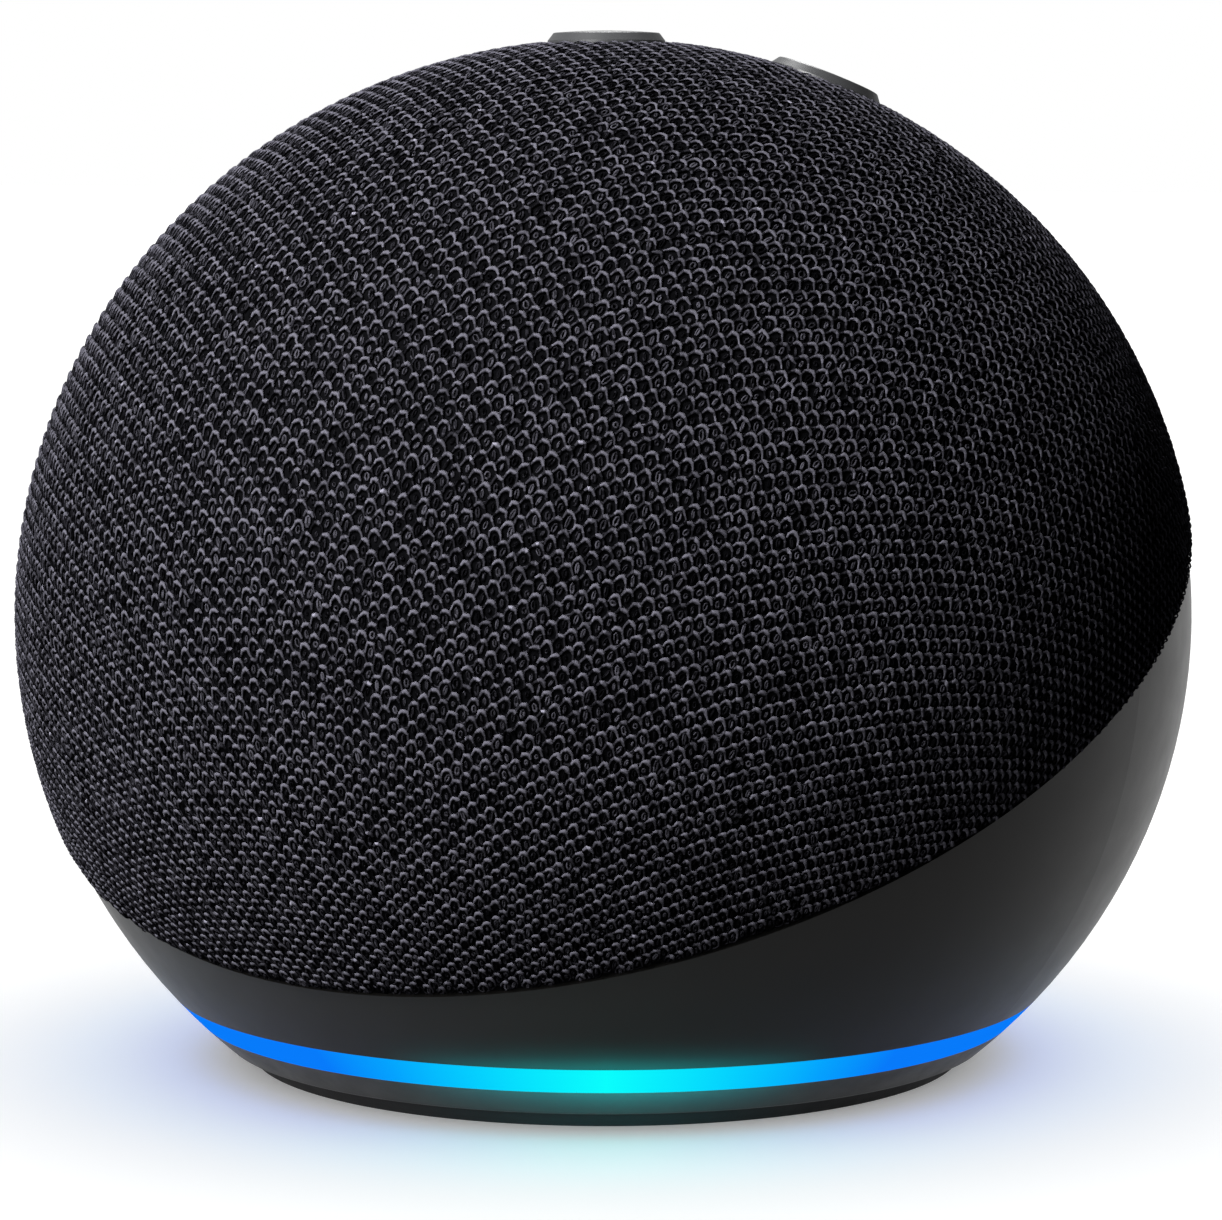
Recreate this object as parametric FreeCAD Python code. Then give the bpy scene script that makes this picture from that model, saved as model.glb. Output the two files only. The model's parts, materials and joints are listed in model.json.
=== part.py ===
import FreeCAD, Part
import math
import os
from FreeCAD import Placement, Rotation, Vector

# Smart speaker: a flattened ball that stands on a rubber foot, with its front towards -Y.
# A knit cover over a perforated dome takes the front and top, a smooth moulded housing the
# back and bottom, and a tilted plane is the seam between them. The housing is one moulding in
# use; here its wall, its panel round the sockets and its deck are separate, flush pieces.
# Lengths are millimetres and angles are degrees. The origin is the centre of the foot's
# underside, on the table.

# Driving dimensions
WIDTH = 100.0             # across the knit cover
HALF_HEIGHT = 48.56       # vertical half axis of the cover's ellipsoid
CENTRE_Z = 37.6           # height of the ellipsoid's centre
FABRIC = 0.6              # knit cover's thickness, by which it stands proud of the housing
WALL = 2.1                # moulded housing's wall
GRILLE_WALL = 1.95        # perforated dome's wall
SEAM_TILT = 28.74         # lean of the seam plane towards the front
SEAM_OFFSET = -2.35       # seam plane from the ellipsoid's centre, along its own normal
SEAM_GAP = 0.3            # shadow gap between the cover's edge and the housing
FOOT_H = 1.4              # rubber foot
BAND_TOP = 3.69           # base plate's rim ends here and the light ring starts
RING_TOP = 5.97           # the light ring ends here and the housing starts
BUTTON_D = 9.9            # across a button at the cover's surface
BUTTON_PROUD = 0.6        # height of a button over the cover
BUTTON_SIDE = 15.1        # side buttons' distance from the middle plane
BUTTON_PITCH = 11.0       # depth from one row of buttons to the next
DRIVER_Z = 45.5           # height of the loudspeaker's axis
BAFFLE_Y = -25.0          # front face of the speaker box
GASKET_T = 0.6            # foam between the box and the loudspeaker
INLET_Z = 19.0            # height of the sockets' axes

# Sizes worked out from them
A = WIDTH / 2
C = HALF_HEIGHT
TOP_R = A * A / C         # radius of curvature at the very top
SKIN = FABRIC             # inset of the housing's outer surface
INNER = SKIN + WALL       # inset of the housing's inner surface
GRILLE_OUT = FABRIC + 0.05
GRILLE_IN = GRILLE_OUT + GRILLE_WALL
LIP = 4.4                 # inset of the inside of the dome's locating lip
SIDE_GAP = 0.3            # radial gap around each button
DECK_Z = 8.6
DECK_T = 1.6
BOARD_Z = 13.2
BOARD_T = 1.2
BOARD_TOP = BOARD_Z + BOARD_T
BOARD_R = 33.0
POCKET_Y = 38.0           # back wall of the socket pocket
POCKET_HALF = 13.0
POCKET_BOTTOM = 13.6
POCKET_TOP = 25.0
POCKET_CORNER = 3.0
BAY_WALL = 1.8            # wall of the tub round the pocket
REAR_HALF = POCKET_HALF + BAY_WALL   # half width of the panel at the back
JACK_FRONT = POCKET_Y - BAY_WALL
POWER_X = -6.0            # the two sockets, across the pocket
POWER_SNOUT = 4.0         # radius of the power socket's snout
POWER_BORE = 3.0
AUDIO_X = 7.0
AUDIO_SNOUT = 2.8
AUDIO_BORE = 1.85
SNOUT_ROOM = 0.2          # around each snout
LAMPS = 16                # in the light ring
GUIDE_IN = 30.6           # inner radius of the clear light guide
GUIDE_OUT = 32.3
FLEX_IN = 6.2             # inset of the button carrier's top
FLEX_T = 0.2
CARRIER_T = 1.6
STEM_END = 5.05           # inset of the end of a button's stem
FLANGE_LOW = -3.9         # underside of a button's flange, from the cover's surface
MICROPHONE_TOP = 5.1      # inset of the microphones' tops
RIBBON_X = 1.1            # middle of the ribbon cable, between the sockets
MARK_FLOOR = 0.42         # floor of the marks sunk into the buttons
BOX_FLOOR = 24.0
BOX_TOP = 67.0
BOX_HALF = 27.0
BOX_BACK = 22.0
BOX_SPLIT = -14.0
BOX_WALL = 1.8
EAR_R = 3.0               # round ears at the speaker box's corners
EAR_IN = 0.8
WIRE_X = (-19.0, -16.0)   # the pair of speaker wires
WIRE_Z = 34.0
FIN_PITCH = 2.6           # heat sink
FIN_GAP = 1.4

# The loudspeaker, along its own axis from the back of its flange
FLANGE_R = 20.5
FLANGE_T = 1.6
FLANGE_IN = 16.6
SEAL_R = 17.4
DRIVER_SCREWS_R = 19.0
PLATE_Z = -9.6            # front of the top plate
MAGNET_Z = PLATE_Z - 2.0
YOKE_Z = MAGNET_Z - 5.0
YOKE_BACK = YOKE_Z - 2.0
MAGNET_R = 12.0
COIL_R = 4.05
CONE_R = 13.6
CONE_NECK_Z = -6.6
ROLL_R = 15.4             # middle of the surround's half roll
ROLL_Z = 1.6
SPIDER_IN = 4.2
SPIDER_OUT = 11.2
SPIDER_Z = -7.75

# Screws: shank radius, length, head radius and head height
BASE_SCREW = (0.98, 5.5, 2.3, 1.15)
BOARD_SCREW = (0.78, 4.0, 1.8, 1.0)
POST_SCREW = (0.98, 9.0, 2.0, 1.3)
EAR_SCREW = (0.78, 8.4, 1.8, 1.1)
CARRIER_SCREW = (0.78, 5.5, 1.8, 1.0)
DRIVER_SCREW = (0.85, 3.6, 1.6, 0.9)

UP = Vector(0, 0, 1)
BUTTONS = {
    "action_button": (0.0, 0.0),
    "volume_down_button": (-BUTTON_SIDE, BUTTON_PITCH),
    "volume_up_button": (BUTTON_SIDE, BUTTON_PITCH),
    "microphone_off_button": (0.0, 2 * BUTTON_PITCH),
}
MICROPHONES = [(sx * 9.2, BUTTON_PITCH + sy * 9.0) for sx in (-1, 1) for sy in (-1, 1)]
CARRIER_SCREWS = [(sx * 12.5, BUTTON_PITCH + sy * 13.0) for sx in (-1, 1) for sy in (-1, 1)]
BASE_SCREWS = [(26 * math.cos(a), 26 * math.sin(a))
               for a in (math.radians(45 + 90 * k) for k in range(4))]
BOARD_SCREWS = [(27 * math.cos(a), 27 * math.sin(a))
                for a in (math.radians(v) for v in (20, 160, 235, 305))]
BOX_POSTS = [(-16.0, 8.0), (16.0, 8.0), (0.0, -20.0)]

os.makedirs("parts", exist_ok=True)


# ---- shapes ---------------------------------------------------------------------------

def ellipsoid(inset):
    """The whole body's ellipsoid, moved inwards by inset."""
    a = A - inset
    c = C - inset
    centre = Vector(0, 0, CENTRE_Z)
    ellipse = Part.Ellipse(centre + Vector(a, 0, 0), centre + Vector(0, 0, c), centre)
    arc = Part.Arc(ellipse, -math.pi / 2, math.pi / 2).toShape()
    axis = Part.makeLine(centre + Vector(0, 0, c), centre - Vector(0, 0, c))
    return Part.Face(Part.Wire([arc, axis])).revolve(Vector(0, 0, 0), UP, 360)


def layer(outer, inner):
    """The layer between two insets of the body."""
    return ellipsoid(outer).cut(ellipsoid(inner))


def top_dome(inset):
    """Ball that matches the body's top, within a few hundredths as far out as the buttons."""
    return Part.makeSphere(TOP_R - inset, Vector(0, 0, CENTRE_Z + C - TOP_R))


def top_layer(outer, inner):
    """The layer between two insets, near the body's top."""
    return top_dome(outer).cut(top_dome(inner))


def box(x0, x1, y0, y1, z0, z1):
    return Part.makeBox(x1 - x0, y1 - y0, z1 - z0, Vector(x0, y0, z0))


def rod(radius, start, end):
    """A round rod between two points."""
    start, end = Vector(*start), Vector(*end)
    return Part.makeCylinder(radius, (end - start).Length, start, end - start)


def upright(radius, x, y, z0, z1):
    return rod(radius, (x, y, z0), (x, y, z1))


def tube(outer, inner, x, y, z0, z1):
    return upright(outer, x, y, z0, z1).cut(upright(inner, x, y, z0, z1))


def joined(shapes):
    shapes = list(shapes)
    whole = shapes[0]
    if len(shapes) > 1:
        whole = whole.multiFuse(shapes[1:])
    return whole.removeSplitter()


def group(shapes):
    """Separate solids that share one node."""
    return Part.makeCompound(list(shapes))


def without(shape, cutters):
    return shape.cut(Part.makeCompound(list(cutters)))


def seam_slab(low, high):
    """The space between two heights above the seam plane."""
    slab = box(-80, 80, -80, 80, low, high)
    turn = Rotation(Vector(1, 0, 0), SEAM_TILT)
    centre = Vector(0, 0, CENTRE_Z) + turn.multVec(Vector(0, 0, SEAM_OFFSET))
    slab.Placement = Placement(centre, turn)
    return slab


def above_seam(point):
    """A point's height over the seam plane."""
    turn = Rotation(Vector(1, 0, 0), SEAM_TILT)
    return turn.multVec(UP).dot(point - Vector(0, 0, CENTRE_Z)) - SEAM_OFFSET


def surface_z(x, y, inset):
    """Height of the body's upper surface at x, y."""
    a = A - inset
    return CENTRE_Z + (C - inset) * math.sqrt(1 - (x * x + y * y) / (a * a))


def radius_at(z, inset):
    """Radius of the body's surface at height z."""
    c = C - inset
    return (A - inset) * math.sqrt(1 - ((z - CENTRE_Z) / c) ** 2)


def on_cover(shape, x, y):
    """Stand a shape, made about the Z axis, on the cover at x, y, square to its surface."""
    z = surface_z(x, y, 0)
    normal = Vector(x / A ** 2, y / A ** 2, (z - CENTRE_Z) / C ** 2)
    moved = shape.copy()
    moved.Placement = Placement(Vector(x, y, z), Rotation(UP, normal))
    return moved


def facing_front(shape):
    """Turn a shape made about the Z axis so that it faces the front from the gasket."""
    moved = shape.copy()
    moved.Placement = Placement(Vector(0, BAFFLE_Y - GASKET_T, DRIVER_Z),
                                Rotation(Vector(1, 0, 0), 90))
    return moved


def around_flange(radius, z0, z1):
    """Rods at the loudspeaker's four screws."""
    return [upright(radius, DRIVER_SCREWS_R * math.cos(a), DRIVER_SCREWS_R * math.sin(a), z0, z1)
            for a in (math.radians(90 * k) for k in range(4))]


def turned(points):
    """A solid of revolution about Z, from an outline of radius and height."""
    outline = Part.makePolygon([Vector(r, 0, z) for r, z in points + points[:1]])
    return Part.Face(outline).revolve(Vector(0, 0, 0), UP, 360)


def screw(radius, length, head_radius, head_height):
    """A pan-head screw about Z with its tip up, its head's underside at z = 0."""
    shank = Part.makeCylinder(radius, length)
    head = Part.makeCylinder(head_radius, head_height, Vector(0, 0, -head_height))
    head = head.makeFillet(0.3 * head_height, head.Edges[:1] + head.Edges[2:])
    arm = 0.6 * head_radius
    half = 0.3 * radius
    cross = joined([box(-arm, arm, -half, half, -head_height, -0.45 * head_height),
                    box(-half, half, -arm, arm, -head_height, -0.45 * head_height)])
    return joined([shank, head]).cut(cross)


def screws_up(places, z, *size):
    """Screws that point up, with their heads' undersides at z."""
    made = []
    for x, y in places:
        one = screw(*size)
        one.translate(Vector(x, y, z))
        made.append(one)
    return group(made)


def screws_down(places, z, *size):
    """Screws that point down, with their heads' undersides at z."""
    made = []
    for x, y in places:
        one = screw(*size)
        one.Placement = Placement(Vector(x, y, z), Rotation(Vector(1, 0, 0), 180))
        made.append(one)
    return group(made)


def rounded_plate(x0, x1, z0, z1, radius, y0, y1):
    """A block along Y with its four long edges rounded."""
    block = box(x0, x1, y0, y1, z0, z1)
    long_edges = [e for e in block.Edges
                  if abs(abs(e.Vertexes[0].Y - e.Vertexes[1].Y) - (y1 - y0)) < 1e-6]
    return block.makeFillet(radius, long_edges)


def bent_path(points, radius):
    """Straight runs through the points, joined by tangent arcs."""
    points = [Vector(*p) for p in points]
    edges = []
    last = points[0]
    for before, corner, after in zip(points, points[1:], points[2:]):
        back = (before - corner).normalize()
        ahead = (after - corner).normalize()
        half = back.getAngle(ahead) / 2
        trim = radius / math.tan(half)
        start = corner + back * trim
        end = corner + ahead * trim
        middle = corner + (back + ahead).normalize() * (radius / math.sin(half) - radius)
        edges.append(Part.makeLine(last, start))
        edges.append(Part.Arc(start, middle, end).toShape())
        last = end
    edges.append(Part.makeLine(last, points[-1]))
    return Part.Wire(edges)


def round_wire(points, radius, bend):
    """A round wire along a bent path."""
    path = bent_path(points, bend)
    along = path.Edges[0].tangentAt(path.Edges[0].FirstParameter)
    circle = Part.Wire([Part.makeCircle(radius, Vector(*points[0]), along)])
    return path.makePipeShell([circle], True, False)


# ---- outer shells ---------------------------------------------------------------------

def button_holes(radius):
    hole = Part.makeCylinder(radius, 12, Vector(0, 0, -8))
    return [on_cover(hole, x, y) for x, y in BUTTONS.values()]


def fabric_cover():
    """The knit cover, with its edge tucked in at the seam."""
    skin = layer(0, FABRIC).common(seam_slab(SEAM_GAP / 2, 120))
    tuck = layer(FABRIC, 2 * FABRIC).common(seam_slab(SEAM_GAP / 2, SEAM_GAP / 2 + FABRIC))
    return without(joined([skin, tuck]), button_holes(BUTTON_D / 2 + SIDE_GAP))


def grille_holes():
    """Round sound holes in rings around the middle of the front."""
    hole = Part.makeCylinder(1.8, 8, Vector(0, 0, -5))
    made = []
    for ring in range(0, 7):
        lean = math.radians(8.0 * ring)
        count = max(1, round(6.2 * ring))
        for k in range(count):
            turn = 2 * math.pi * (k + 0.5 * (ring % 2)) / count
            direction = Vector(math.sin(lean) * math.cos(turn), -math.cos(lean),
                               math.sin(lean) * math.sin(turn))
            place = Vector(0, 0, CENTRE_Z) + direction * (A - GRILLE_OUT - 1)
            if above_seam(place) < 8:
                continue
            one = hole.copy()
            one.Placement = Placement(place, Rotation(UP, direction))
            made.append(one)
    return made


def grille_shell():
    """The perforated dome under the knit, with a lip that drops into the housing."""
    edge = SEAM_GAP / 2 + FABRIC + 0.1
    dome = layer(GRILLE_OUT, GRILLE_IN).common(seam_slab(edge, 120))
    rim = layer(2 * FABRIC + 0.05, LIP).common(seam_slab(edge - 0.1 - FABRIC, 3.5))
    rim = rim.cut(layer(0, GRILLE_OUT + 1.2).common(seam_slab(-1, edge)))
    lip = layer(INNER + 0.1, LIP).common(seam_slab(-2.8, edge))
    bosses = [upright(2.4, x, y, 55, 90) for x, y in CARRIER_SCREWS]
    bosses = joined(bosses).common(top_layer(GRILLE_OUT + 1, FLEX_IN))
    shell = joined([dome, rim, lip, bosses])
    pilots = [upright(0.8, x, y, 55, surface_z(x, y, GRILLE_IN)) for x, y in CARRIER_SCREWS]
    ports = [on_cover(Part.makeCylinder(0.6, 12, Vector(0, 0, -8)), x, y) for x, y in MICROPHONES]
    return without(shell, button_holes(BUTTON_D / 2 + SIDE_GAP) + grille_holes() + pilots + ports)


def housing_skin():
    """The smooth outer wall between the light ring and the seam."""
    space = box(-60, 60, -60, 60, RING_TOP, 100).common(seam_slab(-150, -SEAM_GAP / 2))
    return layer(SKIN, INNER).common(space)


def rear_block():
    """The part of the back that the sockets' panel takes."""
    return box(-REAR_HALF, REAR_HALF, 0, 60, 0, 100)


def lower_housing():
    """The smooth back and bottom wall, open at the back for the sockets' panel."""
    return housing_skin().cut(rear_block())


def rear_panel():
    """The back of the wall, flush with the housing, with the mouth of the sockets' pocket."""
    return housing_skin().common(rear_block()).cut(socket_pocket())


def deck():
    """The floor inside the housing, with the bosses and posts that carry the inside."""
    plate = ellipsoid(INNER).common(box(-60, 60, -60, 60, DECK_Z, DECK_Z + DECK_T))
    bosses = [upright(3.0, x, y, BAND_TOP - 0.4, DECK_Z + 0.5) for x, y in BASE_SCREWS]
    posts = [upright(2.4, x, y, DECK_Z + 0.5, BOARD_Z) for x, y in BOARD_SCREWS]
    posts += [upright(3.0, x, y, DECK_Z + 0.5, BOX_FLOOR) for x, y in BOX_POSTS]
    solid = joined([plate] + bosses + posts)
    cuts = [upright(14, 0, 0, DECK_Z - 1, DECK_Z + DECK_T + 1)]
    cuts += [upright(1.0, x, y, 0, DECK_Z) for x, y in BASE_SCREWS]
    cuts += [upright(0.8, x, y, DECK_Z + DECK_T, BOARD_Z) for x, y in BOARD_SCREWS]
    cuts += [upright(1.0, x, y, DECK_Z + DECK_T + 4, BOX_FLOOR) for x, y in BOX_POSTS]
    return without(solid, cuts)


def socket_pocket():
    """The space at the back that the plugs go into."""
    return rounded_plate(-POCKET_HALF, POCKET_HALF, POCKET_BOTTOM, POCKET_TOP, POCKET_CORNER,
                         POCKET_Y, 60)


def socket_bay():
    """The tub behind the pocket, bonded to the inside of the housing, with two socket holes."""
    block = box(-POCKET_HALF - BAY_WALL, POCKET_HALF + BAY_WALL, POCKET_Y - BAY_WALL, 60,
                POCKET_BOTTOM - BAY_WALL, POCKET_TOP + BAY_WALL)
    tub = block.common(ellipsoid(INNER + 0.05))
    holes = [rod(radius + SNOUT_ROOM, (x, 30, INLET_Z), (x, 40, INLET_Z))
             for x, radius in ((POWER_X, POWER_SNOUT), (AUDIO_X, AUDIO_SNOUT))]
    return without(tub, [socket_pocket()] + holes)


def band_of(outer_inset, inner_radius, z0, z1):
    """A ring that follows the body outside and is round inside."""
    ring = ellipsoid(outer_inset).common(box(-60, 60, -60, 60, z0, z1))
    return ring.cut(upright(inner_radius, 0, 0, -5, 30))


def light_ring():
    """The diffuser that shows between the base and the housing."""
    return band_of(SKIN, GUIDE_OUT + 0.1, BAND_TOP, RING_TOP)


def light_guide():
    """Clear ring that carries the lamps' light to the diffuser."""
    return tube(GUIDE_OUT, GUIDE_IN, 0, 0, BAND_TOP, RING_TOP - 0.2)


def base_plate():
    """The band under the light ring, with the floor that closes the housing."""
    plate = ellipsoid(SKIN).common(box(-60, 60, -60, 60, FOOT_H, BAND_TOP))
    lower_edge = [e for e in plate.Edges if abs(e.BoundBox.ZMax - FOOT_H) < 1e-3]
    plate = plate.makeFillet(0.45, lower_edge)
    cuts = [upright(GUIDE_IN - 0.1, 0, 0, BAND_TOP - 0.5, 9)]
    for x, y in BASE_SCREWS:
        cuts.append(upright(1.4, x, y, 0, 9))
        cuts.append(upright(2.6, x, y, 0, FOOT_H + 1.2))
    return without(plate, cuts)


def rubber_foot():
    """The foot: a disc with a rounded edge and three grip grooves."""
    low = radius_at(0, SKIN)
    high = radius_at(FOOT_H, SKIN) - 0.7
    disc = turned([(0, 0), (low - 0.35, 0), (low, 0.35), (high, FOOT_H), (0, FOOT_H)])
    grooves = [tube(r + 0.8, r, 0, 0, -1, 0.35) for r in (19, 22.5, 26)]
    return without(disc, grooves)


# ---- light ring's electronics ---------------------------------------------------------

def led_board():
    board = tube(GUIDE_IN - 0.4, 19.5, 0, 0, BAND_TOP - 0.5, BAND_TOP + 0.5)
    return without(board, [upright(3.2, x, y, 0, 9) for x, y in BASE_SCREWS])


def ring_leds():
    """Side-firing lamps around the edge of their board."""
    made = []
    for k in range(LAMPS):
        lamp = box(GUIDE_IN - 2.6, GUIDE_IN - 0.5, -1.7, 1.7, BAND_TOP + 0.5, BAND_TOP + 1.7)
        lamp.rotate(Vector(0, 0, 0), UP, 360.0 * (k + 0.5) / LAMPS)
        made.append(lamp)
    return group(made)


# ---- buttons and microphones ----------------------------------------------------------

def button_mark(name):
    """A plain mark sunk into a button's top: a dot, a minus, a plus or a barred ring."""
    bar = box(-1.6, 1.6, -0.3, 0.3, MARK_FLOOR, 2)
    upright_bar = box(-0.3, 0.3, -1.6, 1.6, MARK_FLOOR, 2)
    if name == "action_button":
        return Part.makeCylinder(0.9, 2, Vector(0, 0, MARK_FLOOR))
    if name == "volume_down_button":
        return bar
    if name == "volume_up_button":
        return joined([bar, upright_bar])
    ring = tube(1.6, 1.1, 0, 0, MARK_FLOOR, 2)
    slash = box(-2.3, 2.3, -0.25, 0.25, MARK_FLOOR, 2)
    slash.rotate(Vector(0, 0, 0), UP, 45)
    return joined([ring, slash])


def button(name):
    """A cap with sloping sides over the cover, a flange under the dome and a stem."""
    x, y = BUTTONS[name]
    r = BUTTON_D / 2
    flange_r = r + 0.9
    top_r = r - 0.5
    edge_z = BUTTON_PROUD - TOP_R + math.sqrt(TOP_R ** 2 - top_r ** 2)
    corners = [Vector(*p) for p in [
        (0, 0, BUTTON_PROUD), (0, 0, -STEM_END), (1.5, 0, -STEM_END), (1.5, 0, FLANGE_LOW),
        (flange_r, 0, FLANGE_LOW), (flange_r, 0, FLANGE_LOW + 0.8), (r, 0, FLANGE_LOW + 0.8),
        (r, 0, -0.25), (top_r, 0, edge_z)]]
    crown = Part.Arc(corners[-1], Vector(top_r / 2, 0, BUTTON_PROUD - TOP_R
                                         + math.sqrt(TOP_R ** 2 - top_r ** 2 / 4)), corners[0])
    outline = Part.Wire([Part.makeLine(p, q) for p, q in zip(corners, corners[1:])]
                        + [crown.toShape()])
    body = Part.Face(outline).revolve(Vector(0, 0, 0), UP, 360)
    rim = [e for e in body.Edges if abs(e.BoundBox.ZMin - edge_z) < 1e-3
           and abs(e.BoundBox.ZMax - edge_z) < 1e-3]
    body = body.makeFillet(0.18, rim)
    return on_cover(body.cut(button_mark(name)), x, y)


def button_outline(radius, width, low, high):
    """A plan outline that links the four buttons, as an upright prism."""
    spots = list(BUTTONS.values())
    shapes = [upright(radius, x, y, low, high) for x, y in spots]
    for x, y in spots[1:3]:
        bar = box(0, math.hypot(x, y - BUTTON_PITCH), -width / 2, width / 2, low, high)
        bar.rotate(Vector(0, 0, 0), UP, 0 if x > 0 else 180)
        bar.translate(Vector(0, BUTTON_PITCH, 0))
        shapes.append(bar)
    shapes.append(box(-width / 2, width / 2, 0, 2 * BUTTON_PITCH + 2, low, high))
    shapes.append(box(RIBBON_X - 3, RIBBON_X + 3, BUTTON_PITCH, BOX_BACK + 6, low, high))
    for x, y in MICROPHONES:
        shapes.append(upright(2.2, x, y, low, high))
        shapes.append(box(min(x, 0), max(x, 0), y - 1.5, y + 1.5, low, high))
    return joined(shapes)


def button_flex():
    """Flexible circuit that carries the switches and the microphones."""
    plan = button_outline(4.6, 9.0, 50, 95)
    return top_layer(FLEX_IN - FLEX_T, FLEX_IN).common(plan)


def dome_switches():
    low = FLEX_T - FLEX_IN + 0.03
    disc = turned([(0, low), (2.6, low), (2.6, low + 0.2), (1.2, low + 0.42), (0, low + 0.45)])
    return group(on_cover(disc, x, y) for x, y in BUTTONS.values())


def button_carrier():
    """Moulded dome that backs the flexible circuit and screws to the grille."""
    plan = upright(22.0, 0, BUTTON_PITCH, 50, 95)
    dome = top_layer(FLEX_IN, FLEX_IN + CARRIER_T).common(plan)
    pads = []
    cuts = []
    for x, y in CARRIER_SCREWS:
        flat = surface_z(x, y, FLEX_IN + CARRIER_T) - 1.2
        pads.append(upright(3.0, x, y, flat, 90).common(top_dome(FLEX_IN)))
        cuts.append(upright(1.2, x, y, 40, 90))
    return without(joined([dome] + pads), cuts)


def carrier_screws():
    made = []
    for x, y in CARRIER_SCREWS:
        flat = surface_z(x, y, FLEX_IN + CARRIER_T) - 1.2
        made += screws_up([(x, y)], flat, *CARRIER_SCREW).Solids
    return group(made)


def microphones():
    block = box(-1.5, 1.5, -1.1, 1.1, FLEX_T - FLEX_IN + 0.03, -MICROPHONE_TOP)
    return group(on_cover(block, x, y) for x, y in MICROPHONES)


def microphone_gaskets():
    sleeve = tube(1.8, 0.6, 0, 0, -MICROPHONE_TOP, -GRILLE_IN - 0.04)
    return group(on_cover(sleeve, x, y) for x, y in MICROPHONES)


# ---- loudspeaker ----------------------------------------------------------------------

def driver_basket():
    """Frame with a flange, four windows and a seat for the magnet."""
    frame = turned([(FLANGE_IN, 0), (FLANGE_R, 0), (FLANGE_R, FLANGE_T), (SEAL_R, FLANGE_T),
                    (FLANGE_IN, 1.0)])
    seat = PLATE_Z + 1.4
    cone = turned([(SEAL_R, 0), (FLANGE_IN, 0.2), (FLANGE_IN, 0), (11.7, seat), (8.4, seat),
                   (8.4, PLATE_Z), (12.6, PLATE_Z), (SEAL_R, -1)])
    windows = []
    for k in range(4):
        window = box(11.0, 20.0, -4.2, 4.2, seat + 0.8, -FLANGE_T)
        window.rotate(Vector(0, 0, 0), UP, 45 + 90 * k)
        windows.append(window)
    return facing_front(without(joined([frame, cone]), windows + around_flange(0.9, -1, 3)))


def driver_top_plate():
    hole = COIL_R + 0.35
    edge = MAGNET_R + 0.4
    return facing_front(turned([(hole, MAGNET_Z), (edge, MAGNET_Z), (edge, PLATE_Z),
                                (hole, PLATE_Z)]))


def driver_magnet():
    return facing_front(turned([(6.8, YOKE_Z), (MAGNET_R, YOKE_Z), (MAGNET_R, MAGNET_Z),
                                (6.8, MAGNET_Z)]))


def driver_yoke():
    """Back plate and pole piece in one turned steel part."""
    pole = 3.4
    return facing_front(turned([(0, YOKE_BACK), (MAGNET_R - 0.5, YOKE_BACK),
                                (MAGNET_R, YOKE_BACK + 0.5), (MAGNET_R, YOKE_Z), (pole, YOKE_Z),
                                (pole, PLATE_Z + 0.4), (0, PLATE_Z + 0.4)]))


def voice_coil():
    return facing_front(tube(COIL_R, COIL_R - 0.35, 0, 0, YOKE_Z + 2.0, CONE_NECK_Z + 0.3))


def speaker_cone():
    return facing_front(turned([(COIL_R, CONE_NECK_Z), (COIL_R + 0.45, CONE_NECK_Z),
                                (CONE_R, 0.6), (CONE_R, 1.0), (CONE_R - 0.5, 1.0),
                                (COIL_R, CONE_NECK_Z + 0.5)]))


def dust_cap():
    centre = Vector(0, 0, -10.2)
    ball = Part.makeSphere(9.0, centre).cut(Part.makeSphere(8.6, centre))
    cap = ball.common(upright(6.2, 0, 0, CONE_NECK_Z + 0.6, 0))
    inside = turned([(0, CONE_NECK_Z + 0.5), (COIL_R, CONE_NECK_Z + 0.5), (CONE_R - 0.5, 1.0),
                     (CONE_R - 0.5, 9), (0, 9)])
    return facing_front(cap.common(inside))


def surround():
    """Half-roll of rubber between the cone and the frame."""
    middle = Vector(0, 0, ROLL_Z)
    outer = Part.makeTorus(ROLL_R, 1.7, middle)
    inner = Part.makeTorus(ROLL_R, 1.3, middle)
    roll = outer.cut(inner).common(box(-20, 20, -20, 20, ROLL_Z, 4))
    flat = tube(SEAL_R - 0.05, ROLL_R + 1.3, 0, 0, ROLL_Z, ROLL_Z + 0.4)
    inner_flat = tube(CONE_R + 0.4, CONE_R - 1.0, 0, 0, 1.05, ROLL_Z)
    bridge = tube(CONE_R + 0.5, ROLL_R - 1.7, 0, 0, 1.05, ROLL_Z + 0.2)
    return facing_front(joined([roll, flat, inner_flat, bridge]))


def spider():
    """Corrugated ring that centres the coil."""
    top = []
    low = []
    waves = 12
    for k in range(waves + 1):
        r = SPIDER_IN + k * (SPIDER_OUT - SPIDER_IN) / waves
        z = SPIDER_Z + (0.35 if k % 2 else -0.05) * (0 < k < waves)
        top.append((r, z + 0.2))
        low.append((r, z))
    return facing_front(turned(low + top[::-1]))


def driver_gasket():
    ring = tube(FLANGE_R - 0.2, SEAL_R + 0.3, 0, 0, -GASKET_T, 0)
    return facing_front(without(ring, around_flange(0.9, -3, 3)))


def driver_screws():
    made = []
    for a in (math.radians(90 * k) for k in range(4)):
        one = screw(*DRIVER_SCREW)
        place = Vector(DRIVER_SCREWS_R * math.cos(a), DRIVER_SCREWS_R * math.sin(a), FLANGE_T)
        one.Placement = Placement(place, Rotation(Vector(1, 0, 0), 180))
        made.append(one)
    return facing_front(group(made))


# ---- speaker box ----------------------------------------------------------------------

def box_block(inset, y0, y1):
    return rounded_plate(-BOX_HALF + inset, BOX_HALF - inset, BOX_FLOOR + inset,
                         BOX_TOP - inset, 9 - inset, y0, y1)


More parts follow.
